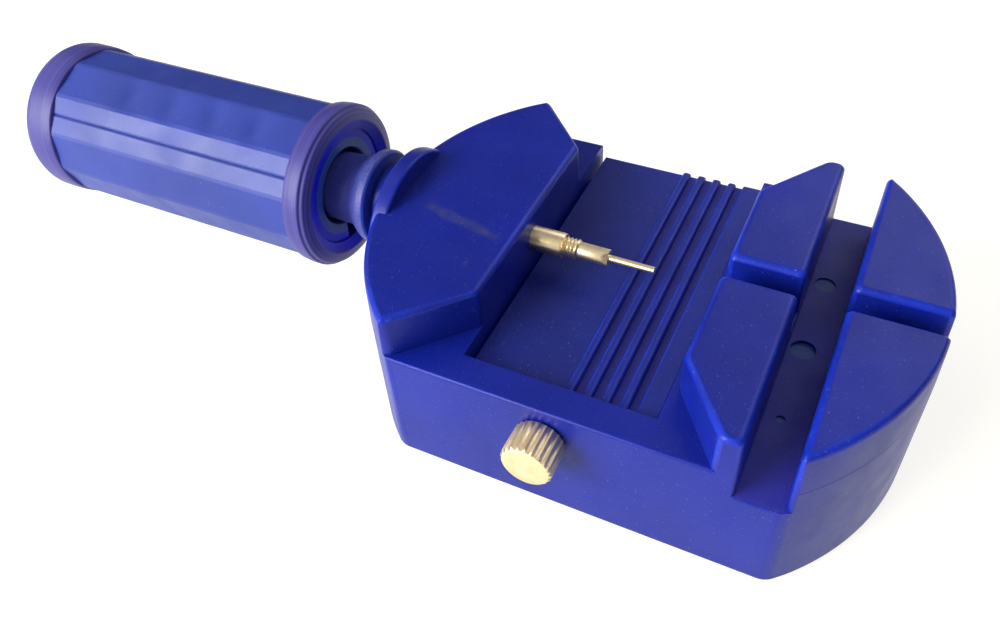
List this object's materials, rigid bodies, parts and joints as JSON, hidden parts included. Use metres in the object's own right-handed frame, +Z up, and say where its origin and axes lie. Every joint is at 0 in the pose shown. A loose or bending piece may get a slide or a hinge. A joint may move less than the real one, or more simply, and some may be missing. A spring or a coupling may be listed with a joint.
{
  "type": "watch band link pin remover",
  "caption": "Watch band link-pin remover: a slotted blue plastic base with an adjustable ribbed bed, and a barrel handle whose screw drives a steel ejector pin.",
  "frame": {"origin": "centre of the flat underside of the base", "axes": "+X runs along the screw from the handle to the slotted jaw, +Y to the open back of the bed, +Z up"},
  "size_m": [0.1182, 0.0492, 0.0279],
  "materials": {
    "body_plastic": "semi-gloss moulded plastic",
    "bed_plastic": "semi-gloss moulded plastic",
    "handle_plastic": "semi-gloss moulded plastic",
    "ring_plastic": "satin plastic with turning marks",
    "plated_steel": "nickel-plated steel, turned",
    "brass": "plain turned brass"
  },
  "bodies": {
    "base": {"body": "body_plastic", "thread_bush": "brass", "clamp_insert": "brass"},
    "bed": {"bed_plate": "bed_plastic"},
    "clamp_shank": {"thumb_screw_shank": "plated_steel"},
    "clamp_head": {"thumb_screw_head": "plated_steel"},
    "pin": {"ejector_pin": "plated_steel"},
    "driver": {"feed_screw": "plated_steel", "tip_holder": "plated_steel", "handle_hub": "handle_plastic", "handle_shell_front": "handle_plastic", "handle_shell_back": "handle_plastic", "front_ring": "ring_plastic", "rear_cap": "ring_plastic"}
  },
  "joints": [
    {"name": "screw_feed", "type": "slide", "parent": "base", "child": "pin", "axis": [-1, 0, 0], "range_m": [0, 0.015]},
    {"name": "handle_turn", "type": "hinge", "parent": "pin", "child": "driver", "pos_m": [-0.04, 0, 0.0174], "axis": [-1, 0, 0], "range_deg": [0, 7715]},
    {"name": "clamp_feed", "type": "slide", "parent": "base", "child": "clamp_shank", "axis": [0, -1, 0], "range_m": [0, 0.0015]},
    {"name": "clamp_turn", "type": "hinge", "parent": "clamp_shank", "child": "clamp_head", "pos_m": [-0.003, -0.024, 0.0116], "axis": [0, -1, 0], "range_deg": [0, 1080.1]},
    {"name": "bed_slide", "type": "slide", "parent": "base", "child": "bed", "axis": [0, 0, 1], "range_m": [-0.002, 0.0018]}
  ],
  "couplings": [
    {"joint": "handle_turn", "follows": "screw_feed", "rad_per_m": 8976},
    {"joint": "clamp_turn", "follows": "clamp_feed", "rad_per_m": 12566}
  ]
}
